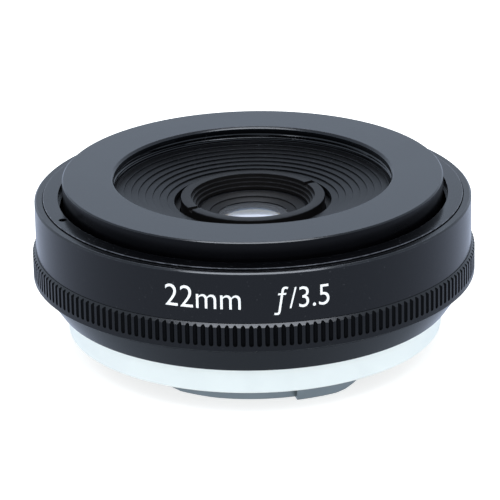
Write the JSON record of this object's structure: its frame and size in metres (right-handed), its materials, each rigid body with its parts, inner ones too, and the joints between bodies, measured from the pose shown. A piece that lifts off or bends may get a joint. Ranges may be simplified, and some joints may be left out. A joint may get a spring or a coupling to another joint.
{
  "type": "prime camera lens",
  "caption": "Pancake prime lens: fixed aperture, knurled focus ring that drives the glass forwards through a cam, stepped front bowl, bayonet rear.",
  "frame": {"origin": "on the optical axis, at the rear end of the bayonet, which is the surface the lens stands on", "axes": "+Z along the optical axis, out of the front of the lens; -Y is the side that carries the focal length marks"},
  "size_m": [0.064, 0.064, 0.026],
  "materials": {
    "black_anodised": "satin black anodised",
    "front_black": "satin black anodised, fine turned face",
    "matt_black": "matt black, against stray light",
    "baffle_plastic": "matt black moulded",
    "mount_silver": "satin silver anodised",
    "bayonet_steel": "satin turned",
    "brass": "turned and greased",
    "screw_steel": "bright turned",
    "coated_glass": "polished, coated against reflections",
    "index_red": "gloss paint in a dimple"
  },
  "bodies": {
    "mount": {"bayonet_plate": "bayonet_steel", "mount_screw_1": "screw_steel", "mount_screw_2": "screw_steel", "mount_screw_3": "screw_steel", "mount_screw_4": "screw_steel", "mount_ring": "mount_silver", "rear_barrel": "black_anodised", "index_dot": "index_red", "rear_baffle": "baffle_plastic", "guide_barrel": "brass", "guide_screw_1": "screw_steel", "guide_screw_2": "screw_steel", "guide_screw_3": "screw_steel", "outer_barrel": "black_anodised", "front_retaining_ring": "black_anodised", "friction_washer": "screw_steel"},
    "focus": {"focus_ring": "black_anodised", "cam_ring": "brass", "drive_pin_1": "screw_steel", "drive_pin_2": "screw_steel", "drive_pin_3": "screw_steel"},
    "optics": {"lens_barrel": "matt_black", "follower_pin_1": "screw_steel", "follower_pin_2": "screw_steel", "follower_pin_3": "screw_steel", "front_plate": "front_black", "stepped_baffle": "matt_black", "lens_cell": "matt_black", "cell_retaining_ring": "black_anodised", "front_element_ring": "black_anodised", "front_element": "coated_glass", "front_spacer": "matt_black", "middle_element": "coated_glass", "rear_spacer": "matt_black", "aperture_stop": "matt_black", "rear_element": "coated_glass", "rear_element_ring": "black_anodised"}
  },
  "joints": [
    {"name": "focus_turn", "type": "hinge", "parent": "mount", "child": "focus", "pos_m": [0, 0, 0.0137], "axis": [0, 0, 1], "range_deg": [0, 90]},
    {"name": "focus_travel", "type": "slide", "parent": "mount", "child": "optics", "axis": [0, 0, 1], "range_m": [0, 0.003]}
  ],
  "couplings": [
    {"joint": "focus_travel", "follows": "focus_turn", "m_per_rad": 0.0019098}
  ]
}
